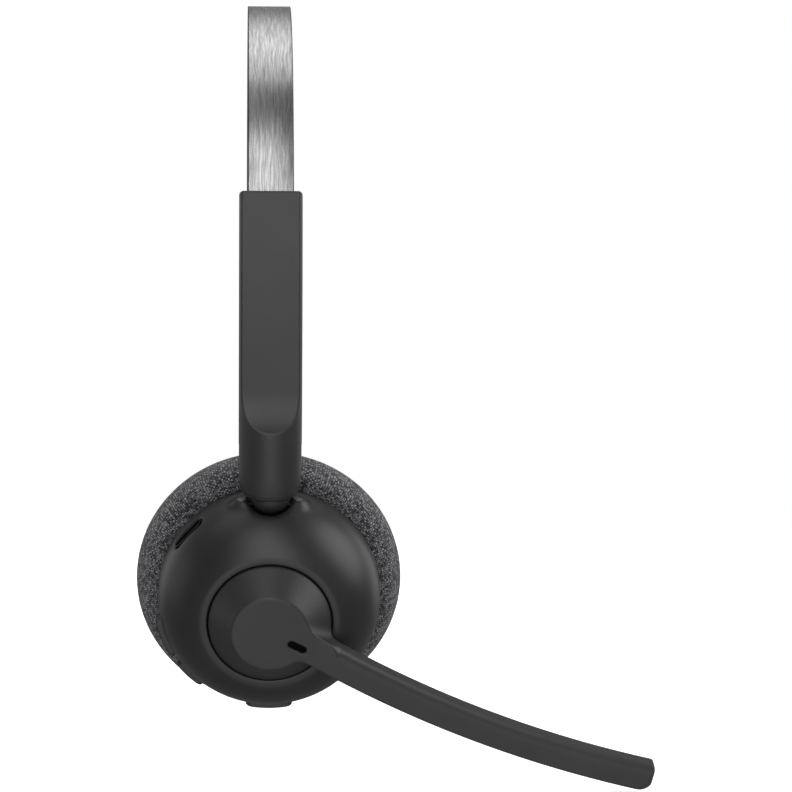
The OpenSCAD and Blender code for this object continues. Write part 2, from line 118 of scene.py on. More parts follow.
# Angles below the height of the arc's centre
STEM_TOP = LEAN - math.radians(26.7)
SCOOP_START = math.radians(12.3)
STRIP_END = math.radians(11.6)
CUP_CENTRE = BALL - UP * BALL_Y - HUB_AXIS * AXIS_Z
CUP = Matrix((
    (1, UP.x, HUB_AXIS.x, CUP_CENTRE.x),
    (0, UP.y, HUB_AXIS.y, CUP_CENTRE.y),
    (0, UP.z, HUB_AXIS.z, CUP_CENTRE.z),
    (0, 0, 0, 1)))
MIRROR = Matrix.Diagonal((1, -1, 1, 1))


# ---------------------------------------------------------------- making meshes

def add_mesh(name, verts, faces, matrix=Matrix.Identity(4), left=False):
    """A new smooth object from points in millimetres, placed by matrix, mirrored for the left."""
    place = (MIRROR @ matrix) if left else matrix
    turned_pts = np.asarray(verts, float) @ np.array(place.to_3x3()).T
    pts = turned_pts + np.array(place.to_translation())
    mesh = bpy.data.meshes.new(name)
    mesh.from_pydata((pts * MM).tolist(), [], [list(map(int, f)) for f in faces])
    if place.determinant() < 0:
        mesh.flip_normals()
    mesh.validate()
    mesh.update()
    mesh.polygons.foreach_set("use_smooth", [True] * len(mesh.polygons))
    obj = bpy.data.objects.new(name, mesh)
    bpy.context.scene.collection.objects.link(obj)
    return obj


def smooth_min(a, b, k):
    """The smaller of two distances, blended over a width k."""
    h = np.maximum(k - np.abs(a - b), 0) / k
    return np.minimum(a, b) - h * h * k / 4


def smooth_max(a, b, k):
    """The larger of two distances, blended over a width k."""
    return -smooth_min(-a, -b, k)


def smooth_step(low, high, x):
    """0 below low, 1 above high, and an eased rise between them."""
    t = np.clip((x - low) / (high - low), 0, 1)
    return t * t * (3 - 2 * t)


def gradient(field, pts, h=0.02):
    """The direction in which a distance field grows, at each point."""
    out = np.empty_like(pts)
    for axis in range(3):
        step = np.zeros(3)
        step[axis] = h
        out[:, axis] = (field(*(pts + step).T) - field(*(pts - step).T)) / (2 * h)
    return out


def field_mesh(field, low, high, step):
    """Verts and quads of the surface where a distance field is zero: a grid of cells, one
    point in each cell that the surface crosses, then pulled onto the surface exactly. The
    field is worked out at every fourth point first, and in full only near the surface."""
    axes = [np.arange(a, b + step, step) for a, b in zip(low, high)]
    shape = [len(a) for a in axes]
    coarse = np.meshgrid(*[a[1::4] for a in axes], indexing="ij")
    rough = field(*coarse).astype(np.float32)
    near = [np.minimum(np.arange(n) // 4, m - 1) for n, m in zip(shape, rough.shape)]
    values = rough[np.ix_(*near)]
    check = np.argwhere(np.abs(values) < 6.0 * step)
    values[tuple(check.T)] = field(*[a[check[:, n]] for n, a in enumerate(axes)])
    inside = values < 0
    cells = [n - 1 for n in shape]
    corners = [(i, j, k) for i in (0, 1) for j in (0, 1) for k in (0, 1)]

    def part(array, c):
        return array[tuple(slice(o, o + n) for o, n in zip(c, cells))]

    count = sum(part(inside, c).astype(np.uint8) for c in corners)
    active = np.argwhere((count > 0) & (count < 8))
    total = np.zeros((len(active), 3))
    hits = np.zeros(len(active))
    at = {c: values[tuple((active + c).T)].astype(float) for c in corners}
    for c in corners:
        for axis in range(3):
            if c[axis]:
                continue
            d = tuple(v + (n == axis) for n, v in enumerate(c))
            a, b = at[c], at[d]
            cross = (a < 0) != (b < 0)
            t = np.where(cross, a / np.where(cross, a - b, 1), 0)
            point = np.array(c, float) + np.outer(t, np.eye(3)[axis])
            total += point * cross[:, None]
            hits += cross
    verts = np.array(low) + (active + total / hits[:, None]) * step
    for _ in range(4):
        g = gradient(field, verts)
        d = field(*verts.T)
        move = g * (d / np.maximum((g * g).sum(1), 1e-6))[:, None]
        size = np.linalg.norm(move, axis=1)
        move *= np.minimum(1, 0.5 * step / np.maximum(size, 1e-9))[:, None]
        verts = verts - move
    index = np.full(cells, -1, np.int64)
    index[tuple(active.T)] = np.arange(len(active))
    quads = []
    for axis in range(3):
        o1, o2 = [np.eye(3, dtype=int)[(axis + n) % 3] for n in (1, 2)]
        lo = [slice(None)] * 3
        hi = [slice(None)] * 3
        lo[axis], hi[axis] = slice(0, -1), slice(1, None)
        a, b = inside[tuple(lo)], inside[tuple(hi)]
        edge = np.argwhere(a != b)
        keep = np.all([(edge[:, n] > 0) & (edge[:, n] < shape[n] - 1)
                       for n in range(3) if n != axis], axis=0)
        edge = edge[keep]
        out = a[tuple(edge.T)]
        ring = [edge, edge - o1, edge - o1 - o2, edge - o2]
        ids = np.stack([index[tuple(r.T)] for r in ring], 1)
        ids[~out] = ids[~out][:, ::-1]
        quads.append(ids)
    return verts, np.concatenate(quads)


def revolve(profile, count):
    """Verts and faces of a profile of (radius, height) turned once about z. A radius of
    zero at either end closes it at a single point."""
    verts, rings, faces = [], [], []
    for r, z in profile:
        if r < 1e-6:
            rings.append([len(verts)] * count)
            verts.append((0, 0, z))
            continue
        rings.append(list(range(len(verts), len(verts) + count)))
        for n in range(count):
            a = 2 * math.pi * n / count
            verts.append((r * math.cos(a), r * math.sin(a), z))
    for low, high in zip(rings, rings[1:]):
        for n in range(count):
            m = (n + 1) % count
            face = [low[n], low[m], high[m], high[n]]
            faces.append(list(dict.fromkeys(face)))
    return verts, faces


def arc(cx, cy, r, a0, a1, n):
    """Points on a circle between two angles in degrees."""
    return [(cx + r * math.cos(math.radians(a0 + (a1 - a0) * i / n)),
             cy + r * math.sin(math.radians(a0 + (a1 - a0) * i / n))) for i in range(n + 1)]


def finish_piece(obj, body, material, slot, *nodes):
    """Gives a new piece its material and body, and hides the CAD nodes it stands for."""
    obj.data.materials.clear()
    obj.data.materials.append(material)
    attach(obj, body)
    if nodes:
        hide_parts(*nodes)
    return obj


def apply_modifiers(obj):
    """Replaces the mesh with its evaluated one."""
    graph = bpy.context.evaluated_depsgraph_get()
    done = bpy.data.meshes.new_from_object(obj.evaluated_get(graph))
    obj.modifiers.clear()
    old = obj.data
    obj.data = done
    bpy.data.meshes.remove(old)


# ---------------------------------------------------------------- materials

class Nodes:
    """Short calls for building one material's node tree."""

    def __init__(self, name):
        self.material = bpy.data.materials.new(name)
        self.material.use_nodes = True
        self.tree = self.material.node_tree
        self.shader = self.tree.nodes["Principled BSDF"]

    def add(self, kind, settings=None, **inputs):
        node = self.tree.nodes.new("ShaderNode" + kind)
        for key, value in (settings or {}).items():
            setattr(node, key, value)
        for key, value in inputs.items():
            self.set(node, key.replace("_", " "), value)
        return node

    def set(self, node, key, value):
        """Sets or links an input, by its name or, as i0, i1 and so on, by its place."""
        by_place = key[0] == "i" and key[1:].isdigit()
        socket = node.inputs[int(key[1:]) if by_place else key]
        if isinstance(value, bpy.types.NodeSocket):
            self.tree.links.new(value, socket)
        else:
            socket.default_value = value

    def math(self, operation, a, b=None, c=None):
        values = {"i%d" % n: v for n, v in enumerate((a, b, c)) if v is not None}
        return self.add("Math", {"operation": operation}, **values).outputs[0]

    def noise(self, vector, scale, detail=2.0, roughness=0.5):
        return self.add("TexNoise", Vector=vector, Scale=scale, Detail=detail,
                        Roughness=roughness).outputs["Fac"]

    def ramp(self, fac, low, high, stops=(0.0, 1.0)):
        node = self.add("ValToRGB", Fac=fac)
        for element, position, colour in zip(node.color_ramp.elements, stops, (low, high)):
            element.position = position
            element.color = (*colour, 1)
        return node.outputs["Color"]

    def span(self, fac, low, high):
        """Fac from 0..1 to low..high."""
        return self.add("MapRange", Value=fac, **{"To_Min": low, "To_Max": high}).outputs["Result"]

    def bump(self, height, distance, strength=1.0):
        return self.add("Bump", Height=height, Distance=distance, Strength=strength).outputs["Normal"]

    def coords(self):
        return self.add("TexCoord").outputs["Object"]


def grey(v):
    return (v, v, v)


def plastic(name, dark, light, rough):
    """Moulded plastic: fine spark-eroded grain, slight cloudiness and uneven sheen."""
    grain_scale, grain_depth = 2600.0, 0.000012
    m = Nodes(name)
    at = m.coords()
    cloud = m.noise(at, 90.0, 3.0)
    m.set(m.shader, "Base Color", m.ramp(cloud, grey(dark), grey(light), (0.3, 0.7)))
    smear = m.noise(at, 35.0, 4.0, 0.6)
    m.set(m.shader, "Roughness", m.span(smear, rough - 0.05, rough + 0.06))
    m.set(m.shader, "Normal", m.bump(m.noise(at, grain_scale, 2.0), grain_depth))
    m.shader.inputs["Specular IOR Level"].default_value = 0.5
    return m.material


def brushed_metal(name, tone, rough):
    """Sheet steel brushed along its length: fine streaks that follow the strip."""
    m = Nodes(name)
    uv = m.add("UVMap", {"uv_map": "along"}).outputs["UV"]
    drift = m.add("TexNoise", Vector=uv, Scale=0.12, Detail=1.0).outputs["Color"]
    bent = m.add("VectorMath", {"operation": "MULTIPLY_ADD"}, i0=drift,
                 i1=(0.0, 1.2, 0.0), i2=uv).outputs["Vector"]
    fine = m.add("Mapping", Vector=bent, Scale=(0.16, 16.0, 1.0)).outputs["Vector"]
    broad = m.add("Mapping", Vector=bent, Scale=(0.11, 2.2, 1.0)).outputs["Vector"]
    streak = m.noise(fine, 1.0, 3.0, 0.7)
    band = m.noise(broad, 1.0, 3.0, 0.7)
    mix = m.math("MULTIPLY_ADD", band, 0.55, m.math("MULTIPLY", streak, 0.45))
    m.set(m.shader, "Base Color", m.ramp(mix, grey(tone * 0.38), grey(tone * 1.3), (0.36, 0.62)))
    m.set(m.shader, "Roughness", m.span(mix, rough + 0.1, rough - 0.08))
    m.set(m.shader, "Normal", m.bump(mix, 0.00004, 0.7))
    m.shader.inputs["Metallic"].default_value = 1.0
    m.shader.inputs["Anisotropic"].default_value = 0.6
    tangent = m.add("Tangent", {"direction_type": "UV_MAP", "uv_map": "along"})
    m.set(m.shader, "Tangent", tangent.outputs[0])
    return m.material


def plain_metal(name, tone, rough):
    """Turned or stamped steel of the small fixings."""
    m = Nodes(name)
    at = m.coords()
    cloud = m.noise(at, 400.0, 3.0)
    m.set(m.shader, "Base Color", m.ramp(cloud, grey(tone * 0.8), grey(tone), (0.3, 0.7)))
    m.set(m.shader, "Roughness", m.span(m.noise(at, 900.0, 2.0), rough - 0.06, rough + 0.08))
    m.shader.inputs["Metallic"].default_value = 1.0
    return m.material


def heather_weave(name, pitch):
    """Heathered cloth: plain weave of mixed dark and light yarns, in the uv map "weave",
    whose units are millimetres."""
    m = Nodes(name)
    uv = m.add("UVMap", {"uv_map": "weave"}).outputs["UV"]
    wander = m.add("TexNoise", {"noise_dimensions": "2D"}, Vector=uv, Scale=0.35, Detail=2.0)
    bent = m.add("VectorMath", {"operation": "MULTIPLY_ADD"}, i0=wander.outputs["Color"],
                 i1=(0.5, 0.5, 0.0), i2=uv).outputs["Vector"]
    cell = m.add("Mapping", Vector=bent, Scale=(1 / pitch, 1 / pitch, 1.0)).outputs["Vector"]
    split = m.add("SeparateXYZ", Vector=cell)
    u, v = split.outputs["X"], split.outputs["Y"]
    wave_u = m.math("SINE", m.math("MULTIPLY", u, math.pi))
    wave_v = m.math("SINE", m.math("MULTIPLY", v, math.pi))
    product = m.math("MULTIPLY", wave_u, wave_v)
    knot = m.math("POWER", m.math("ABSOLUTE", product), 0.5)
    over = m.math("GREATER_THAN", product, 0.0)
    ids = m.add("VectorMath", {"operation": "FLOOR"}, i0=cell).outputs["Vector"]
    yarn_u = m.add("TexWhiteNoise", {"noise_dimensions": "2D"}, Vector=ids).outputs["Value"]
    slub = m.add("Mapping", Vector=cell, Scale=(0.7, 2.2, 1.0)).outputs["Vector"]
    yarn_v = m.noise(slub, 1.0, 3.0, 0.7)
    fleck = m.math("MULTIPLY_ADD", yarn_v, 0.5, m.math("MULTIPLY", yarn_u, 0.6))
    shade = m.math("MULTIPLY", fleck, m.math("MULTIPLY_ADD", over, 0.25, 0.75))
    lit = m.math("MULTIPLY", shade, m.math("MULTIPLY_ADD", knot, 0.75, 0.25))
    dark, light = (0.009, 0.009, 0.011), (0.4, 0.4, 0.425)
    m.set(m.shader, "Base Color", m.ramp(lit, dark, light, (0.2, 0.72)))
    m.shader.inputs["Roughness"].default_value = 0.92
    m.shader.inputs["Sheen Weight"].default_value = 0.25
    m.shader.inputs["Sheen Roughness"].default_value = 0.5
    close = m.add("Mapping", Vector=bent, Scale=(9.0, 9.0, 1.0)).outputs["Vector"]
    fibre = m.noise(close, 1.0, 2.0)
    height = m.math("MULTIPLY_ADD", fibre, 0.25, knot)
    m.set(m.shader, "Normal", m.bump(height, 0.00022))
    return m.material


def leather(name, dark, light):
    """Leatherette: shallow rounded pebbles with fine creases."""
    m = Nodes(name)
    at = m.coords()
    cells = m.add("TexVoronoi", {"feature": "DISTANCE_TO_EDGE"}, Vector=at, Scale=900.0)
    slope = m.math("MULTIPLY", cells.outputs["Distance"], 3.0)
    pebble = m.math("POWER", m.math("MINIMUM", slope, 1.0), 0.6)
    crease = m.noise(at, 160.0, 4.0, 0.65)
    m.set(m.shader, "Base Color", m.ramp(crease, grey(dark), grey(light), (0.3, 0.7)))
    m.set(m.shader, "Roughness", m.span(crease, 0.42, 0.6))
    height = m.math("MULTIPLY_ADD", crease, 0.5, pebble)
    m.set(m.shader, "Normal", m.bump(height, 0.00006))
    return m.material


def mesh_cloth(name):
    """Open acoustic mesh: a dark grid of fine threads."""
    m = Nodes(name)
    at = m.coords()
    cells = m.add("TexVoronoi", {"feature": "DISTANCE_TO_EDGE"}, Vector=at, Scale=1500.0)
    thread = m.math("LESS_THAN", cells.outputs["Distance"], 0.16)
    m.set(m.shader, "Base Color", m.ramp(thread, (0.004, 0.004, 0.004), (0.045, 0.045, 0.047)))
    m.shader.inputs["Roughness"].default_value = 0.8
    m.set(m.shader, "Normal", m.bump(thread, 0.00008))
    return m.material


def circuit(name):
    """Solder mask with lighter traces and pads."""
    m = Nodes(name)
    at = m.coords()
    cells = m.add("TexVoronoi", {"feature": "F1", "distance": "MANHATTAN"}, Vector=at, Scale=420.0)
    trace = m.math("LESS_THAN", cells.outputs["Distance"], 0.16)
    m.set(m.shader, "Base Color", m.ramp(trace, (0.006, 0.05, 0.022), (0.5, 0.36, 0.12)))
    m.set(m.shader, "Roughness", m.span(trace, 0.35, 0.25))
    m.set(m.shader, "Normal", m.bump(trace, 0.00004))
    return m.material


MAT = {
    "brushed_steel": brushed_metal("brushed_steel", 0.36, 0.27),
    "bright_steel": plain_metal("bright_steel", 0.6, 0.28),
    "black_plastic": plastic("black_plastic", 0.005, 0.008, 0.5),
    "stem_plastic": plastic("stem_plastic", 0.026, 0.032, 0.4),
    "cup_plastic": plastic("cup_plastic", 0.02, 0.026, 0.36),
    "boom_plastic": plastic("boom_plastic", 0.026, 0.032, 0.42),
    "button_plastic": plastic("button_plastic", 0.03, 0.038, 0.38),
    "acetal": plastic("acetal", 0.6, 0.7, 0.4),
    "leatherette": leather("leatherette", 0.012, 0.022),
    "heather_fabric": heather_weave("heather_fabric", 0.48),
    "scrim_cloth": mesh_cloth("scrim_cloth"),
    "circuit_board": circuit("circuit_board"),
    "battery_foil": plain_metal("battery_foil", 0.5, 0.4),
}
# A darker, rougher copy of the brushed steel for the strip's rounded edges and ends: painted shade
SHADED_EDGE_STEEL = brushed_metal("brushed_steel_painted_shade", 0.12, 0.4)
# Near-black steel for the tilt pins and the USB socket, deep in the knuckle's socket and in the port: painted
# shade
SHADE_STEEL = plain_metal("steel_painted_shade", 0.03, 0.45)
# Near-black plastic with little gloss for the microphone port's window, so the slot reads as a deep hole: painted
# shade
PORT_SHADE = plastic("port_painted_shade", 0.001, 0.002, 0.85)
PORT_SHADE.node_tree.nodes["Principled BSDF"].inputs["Specular IOR Level"].default_value = 0.1
# CAD nodes given a darker material than their slot's, as painted shade where they sit in gaps and recesses
PAINTED_SHADE_PARTS = {
    "right_tilt_pin": SHADE_STEEL,
    "left_tilt_pin": SHADE_STEEL,
    "usb_socket": SHADE_STEEL,
    "port_window": PORT_SHADE,
}
SLOT_OF = {row["node"]: row["material_slot"] for row in frame["record"]["subparts"]}
for node, obj in frame["nodes"].items():
    obj.data.materials.clear()
    obj.data.materials.append(PAINTED_SHADE_PARTS.get(node, MAT[SLOT_OF[node]]))


# ---------------------------------------------------------------- steel strip

def strip_path():
    """Points of the strip's middle line from the right end over the crown to the left, as
    (outward, up), and the direction that faces outward at each."""
    crown_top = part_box("steel_strip")[1].z / MM
    crown_r = 80.0
    crown_z = crown_top - crown_r
    arc_out, arc_z = -ARC_CENTRE.y, ARC_CENTRE.z
    side_outer = SIDE_R + STRIP_T
    lean_dir = np.array((math.cos(STEM_TOP), -math.sin(STEM_TOP)))
    end = np.array((arc_out, arc_z)) + side_outer * lean_dir
    rel = end - (0, crown_z)
    shoulder_r = (crown_r ** 2 - rel @ rel) / (2 * (crown_r - rel @ lean_dir))
    shoulder = end - lean_dir * shoulder_r
    crown_half = math.atan2(shoulder[0], shoulder[1] - crown_z)
    half = []
    for centre, r, a0, a1, n in (
            ((0, crown_z), crown_r, math.pi / 2, math.pi / 2 - crown_half, 90),
            (shoulder, shoulder_r, math.pi / 2 - crown_half, -STEM_TOP, 60),
            ((arc_out, arc_z), side_outer, -STEM_TOP, -STRIP_END, 60)):
        for i in range(1 if half else 0, n + 1):
            a = a0 + (a1 - a0) * i / n
            nx, nz = math.cos(a), math.sin(a)
            mid_r = r - STRIP_T / 2
            half.append((centre[0] + mid_r * nx, centre[1] + mid_r * nz, nx, nz))
    left = [(-x, z, -nx, nz) for x, z, nx, nz in half[1:]]
    return half[::-1] + left


def make_strip():
    """The strip, swept along its path, with a uv map in millimetres that runs along it."""
    edge, corner_steps = 0.22, 3
    w, t = STRIP_W / 2 - edge, STRIP_T / 2 - edge
    section = []
    for cx, cy, a0 in ((w, t, 0), (-w, t, 90), (-w, -t, 180), (w, -t, 270)):
        section += arc(cx, cy, edge, a0, a0 + 90, corner_steps)
    path = strip_path()
    verts, faces, uvs = [], [], []
    length = 0.0
    lengths = []
    for i, (out, up, nx, nz) in enumerate(path):
        if i:
            length += math.hypot(out - path[i - 1][0], up - path[i - 1][1])
        lengths.append(length)
        for x, h in section:
            verts.append((x, -(out + nx * h), up + nz * h))
    n = len(section)
    around = [0.0]
    for a, b in zip(section, section[1:] + section[:1]):
        around.append(around[-1] + math.hypot(b[0] - a[0], b[1] - a[1]))
    for i in range(len(path) - 1):
        for k in range(n):
            m = (k + 1) % n
            faces.append((i * n + k, i * n + m, (i + 1) * n + m, (i + 1) * n + k))
            uvs += [(lengths[i], around[k]), (lengths[i], around[k + 1]),
                    (lengths[i + 1], around[k + 1]), (lengths[i + 1], around[k])]
    for start, flip in ((0, True), ((len(path) - 1) * n, False)):
        cap = list(range(start, start + n))
        faces.append(cap[::-1] if flip else cap)
        uvs += [(lengths[-1], around[k]) for k in range(n)]
    obj = add_mesh("steel_strip_brushed", verts, faces)
    layer = obj.data.uv_layers.new(name="along")
    for loop, uv in zip(layer.data, uvs):
        loop.uv = uv
    finish_piece(obj, "headband", MAT["brushed_steel"], "brushed_steel", "steel_strip")
    obj.data.materials.append(SHADED_EDGE_STEEL)
    # The two broad faces keep the bright steel; the rounded edges and the ends get the darker copy, painted shade
    broad = (corner_steps, 3 * corner_steps + 2)
    for i, poly in enumerate(obj.data.polygons):
        poly.material_index = 0 if i < (len(path) - 1) * n and i % n in broad else 1


make_strip()


# ---------------------------------------------------------------- stems

def on_arc(x, y, z):
    """Distance along the side arc in mm below the arc centre's height, and height above
    the stem's axis, for points of the right side."""
    out, up = -y + ARC_CENTRE.y, z - ARC_CENTRE.z
    return np.arctan2(-up, out) * SIDE_R, np.hypot(out, up) - SIDE_R


def above_ball(x, y, z):
    """Height above the knuckle ball along the swivel axis, and distance from that axis."""
    dy, dz = y - BALL.y, z - BALL.z
    height = dy * UP.y + dz * UP.z
    depth = dy * HUB_AXIS.y + dz * HUB_AXIS.z
    return height, np.hypot(x, depth)


def stem_field(x, y, z):
    """The whole stem: a barrel, flattened outside and inside, narrowed at its lower end."""
    along, rise = on_arc(x, y, z)
    height, radius = above_ball(x, y, z)
    scoop_at = SCOOP_START * SIDE_R
    body = np.hypot(x, rise) - BARREL_R
    facet = np.where(along < scoop_at, rise - FACET_H,
                     SCOOP_R - np.hypot(along - scoop_at, rise - FACET_H - SCOOP_R))
    back_h, back_scoop_r, back_at = 4.5, 8.0, scoop_at + 5.0
    back = np.where(along < back_at, -rise - back_h,
                    back_scoop_r - np.hypot(along - back_at, -rise - back_h - back_scoop_r))
    body = smooth_max(body, facet, 0.22)
    body = smooth_max(body, back, 2.2)
    body = smooth_max(body, STEM_TOP * SIDE_R - along, 0.6)
    nose_height, foot_gap = 12.0, 0.2
    taper = np.interp(height, (foot_gap, 0.6, 1.6, 3.3, 5.4), (6.1, 6.4, 6.75, 7.05, BARREL_R))
    nose = np.where(height < nose_height, radius - taper, -5.0)
    body = smooth_max(body, nose, 0.2)
    body = smooth_max(body, foot_gap - height, 0.2)
    # The slot for the strip, with room on every side
    slot = np.maximum(np.abs(x) - STRIP_W / 2 - 0.2, np.abs(rise - STRIP_MID) - STRIP_T / 2 - 0.16)
    slot = np.maximum(slot, along - STRIP_END * SIDE_R - 0.9)
    body = smooth_max(body, -slot, 0.12)
    journal_bore = np.maximum(radius - BUSH_R, height - BUSH_TOP)
    return np.maximum(body, -journal_bore)


def split_height(x, y, z):
    """Height above the surface on which the two stem shells part."""
    return on_arc(x, y, z)[1] - STRIP_MID


def make_stems():
    """Both stems, each in two shells with a fine gap between them."""
    step = 0.24
    margin, gap = 0.6, 0.04
    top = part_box("right_stem_cover")
    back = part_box("right_stem_back")
    low = [min(top[0][n], back[0][n]) / MM - margin for n in range(3)]
    high = [max(top[1][n], back[1][n]) / MM + margin for n in range(3)]

    def cover(x, y, z):
        return smooth_max(stem_field(x, y, z), gap - split_height(x, y, z), 0.3)

    def inner(x, y, z):
        return smooth_max(stem_field(x, y, z), split_height(x, y, z) + gap, 0.3)

    for name, field in (("stem_cover", cover), ("stem_back", inner)):
        verts, faces = field_mesh(field, low, high, step)
        for side in SIDES:
            obj = add_mesh(f"{side}_{name}_shell", verts, faces, left=side == "left")
            finish_piece(obj, side + "_stem", MAT["stem_plastic"], "stem_plastic", f"{side}_{name}")


make_stems()


# ---------------------------------------------------------------- knuckles

def make_knuckles():
    """A half ball with a softened rim, and the journal that stands on it."""
    shaft_r, shaft_top, soft = 2.5, 12.0, 0.3
    profile = arc(0, 0, BALL_R, -90, -4, 28) + arc(BALL_R - soft, -soft, soft, 0, 90, 4)
    profile += [(shaft_r, 0), (shaft_r, shaft_top - soft), (shaft_r - soft, shaft_top), (0, shaft_top)]
    verts, faces = revolve(profile, 96)
    upright = Matrix.Rotation(math.radians(-90), 4, "X")
    place = CUP @ Matrix.Translation((0, BALL_Y, AXIS_Z)) @ upright
    for side in SIDES:
        obj = add_mesh(side + "_knuckle_ball", verts, faces, place, side == "left")
        finish_piece(obj, side + "_swivel", MAT["stem_plastic"], "stem_plastic", side + "_knuckle")


make_knuckles()


# ---------------------------------------------------------------- cup shells

DOME_R = ((RIM_R - CREST_R) ** 2 + (CREST_Z - WALL_Z) ** 2) / (2 * (RIM_R - CREST_R))
DOME_X = RIM_R - DOME_R
USB_ANGLE = 138.0
USB_Z = 13.9
LUG_Y, LUG_REACH, LUG_R = 24.6, 6.4, 1.35
SOCKET_R = 5.35
BUTTONS = {   # rim angle, length, span of heights, how far it stands out past BUTTON_R
    "volume_up_button": (201.0, 10.6, (10.4, 14.4), 0.8),
    "volume_down_button": (225.0, 8.4, (10.4, 14.4), 0.8),
    "power_button": (270.0, 11.0, (11.8, 16.2), 0.4),
}
BUTTON_R = RIM_R + 0.4
BUTTON_GAP = 0.28


def turned(x, y, angle):
    """x and y as seen when a place on the rim is turned to the bottom of the cup."""
    a = math.radians(270 - angle)
    return x * math.cos(a) - y * math.sin(a), x * math.sin(a) + y * math.cos(a)


def dome_field(x, y, z):
    """The cup's outside, before anything is cut from it. The side wall swells a little."""
    r = np.hypot(x, y)
    swell_z, swell_width, swell_most = 9.6, 2.2, 0.12
    swell = swell_most * np.exp(-((z - swell_z) / swell_width) ** 2)
    round_part = np.hypot(np.maximum(r - DOME_X, 0), np.maximum(z - WALL_Z, 0)) - DOME_R
    return round_part - np.where(z < WALL_Z, swell, swell * np.exp(-(z - WALL_Z)))


def slot_field(x, y, length, width):
    """A slot with round ends, long along x."""
    return np.hypot(np.maximum(np.abs(x) - (length - width) / 2, 0), y) - width / 2


def cup_field(x, y, z, right):
    """One cup shell: the dome, hollow, with its recess and its openings."""
    r = np.hypot(x, y)
    outside = dome_field(x, y, z)
    # A lug over the tilt pin, then the dome cut off at its crest and at its mouth
    lug = np.hypot(np.hypot(np.maximum(np.abs(x) - LUG_REACH, 0), y - LUG_Y), z - AXIS_Z) - LUG_R
    body = smooth_max(smooth_min(outside, lug, 3.0), z - CREST_Z, 0.25)
    body = smooth_max(body, MOUTH_Z - z, 0.9)
    # The hollow, less the solid block round the socket, and the seat of the baffle
    block_half, block_low, block_top = 9.5, 20, 20.8
    seat_r, seat_z = 24.9, 9.3
    hollow = np.maximum(outside + CUP_WALL, z - (FLOOR_Z - CUP_WALL))
    block = np.maximum(np.maximum(np.abs(x) - block_half, block_low - y), z - block_top)
    hollow = np.maximum(hollow, -block)
    hollow = np.minimum(hollow, np.maximum(r - seat_r, z - seat_z))
    body = np.maximum(body, -hollow)
    recess = np.maximum(r - RECESS_R, FLOOR_Z - z)
    body = smooth_max(body, -recess, 0.25)
    body = np.maximum(body, JOURNAL_R + 0.05 - r)
    # The socket: a soft-edged bore that opens towards the outside, round the knuckle
    dy, dz = y - BALL_Y, z - AXIS_Z
    c, s = math.cos(LEAN), math.sin(LEAN)
    forth = dz * c + dy * s
    aside = np.hypot(x, dy * c - dz * s)
    socket = np.where(forth > 0, aside, np.hypot(aside, forth)) - SOCKET_R
    body = smooth_max(body, -socket, 1.0)
    # Room for the foot of the stem
    barrel = np.maximum(np.hypot(x, dz) - BARREL_R - 0.35, -1.3 - dy)
    body = smooth_max(body, -barrel, 0.3)
    if right:
        ux, uy = turned(x, y, USB_ANGLE)
        port = np.maximum(slot_field(ux, z - USB_Z, 9.4, 3.7), uy + 17)
        body = smooth_max(body, -port, 0.35)
        for angle, length, (z0, z1), _ in BUTTONS.values():
            bx, by = turned(x, y, angle)
            middle, half = (z0 + z1) / 2, (z1 - z0) / 2
            window = np.maximum(np.abs(bx) - length / 2, np.abs(z - middle) - half) - BUTTON_GAP
            body = smooth_max(body, -np.maximum(window, by + 20), 0.25)
    return body


def make_cups():
    """Both cup shells. Only the right one has the port and the buttons' windows."""
    step = 0.3
    low, high = (-27.3, -27.3, 7.0), (27.3, 27.3, 27.6)
    for side in SIDES:
        right = side == "right"
        verts, faces = field_mesh(lambda x, y, z: cup_field(x, y, z, right), low, high, step)
        obj = add_mesh(side + "_cup_dome", verts, faces, CUP, not right)
        finish_piece(obj, side + "_cup", MAT["cup_plastic"], "cup_plastic", side + "_cup_shell")


make_cups()


# ---------------------------------------------------------------- buttons

def make_buttons():
    """The three button caps, soft at their corners and rounded like the cup's rim."""
    step = 0.16
    root_r, margin = 23.5, 0.6
    for name, (angle, length, (z0, z1), proud) in BUTTONS.items():

        def field(x, y, z):
            r = np.hypot(x, y)
            cap = smooth_max(np.abs(x) - length / 2, np.abs(z - (z0 + z1) / 2) - (z1 - z0) / 2, 1.6)
            cap = smooth_max(cap, r - BUTTON_R - proud, 0.5)
            return np.maximum(cap, root_r - r)

        low = (-length / 2 - margin, -BUTTON_R - proud - margin, z0 - margin)
        high = (length / 2 + margin, 1.3 - root_r, z1 + margin)
        verts, faces = field_mesh(field, low, high, step)
        turn = Matrix.Rotation(math.radians(angle - 270), 4, "Z")
        obj = add_mesh(name + "_cap", verts, faces, CUP @ turn)
        finish_piece(obj, name[:-len("_button")], MAT["button_plastic"], "button_plastic", name)


make_buttons()


# ---------------------------------------------------------------- boom and hubs

def cone_field(x, y, z):
    """The outside of the hub's cone, from HUB_R up to the edge of the disc."""
    r = np.hypot(x, y)
    run, fall = HUB_R - DISC_R, DISC_Z - CONE_LOW
    size = math.hypot(run, fall)
    slope = ((r - HUB_R) * fall + (z - CONE_LOW) * run) / size
    return smooth_max(slope, r - HUB_R, 0.3)


def arm_place(x, y):
    """Distance along the boom from its start, and distance outside its middle line."""
    dx, dy = x - BOOM_CENTRE[0], y - BOOM_CENTRE[1]
    angle = np.arctan2(dy, dx) % (2 * math.pi)
    return (angle - BOOM_START) * BOOM_R, np.hypot(dx, dy) - BOOM_R


def hub_hollow(x, y, z):
    """What is cut from inside a hub's cone to leave an even wall."""
    return np.maximum(cone_field(x, y, z) + HUB_WALL, z - (DISC_Z - HUB_WALL))


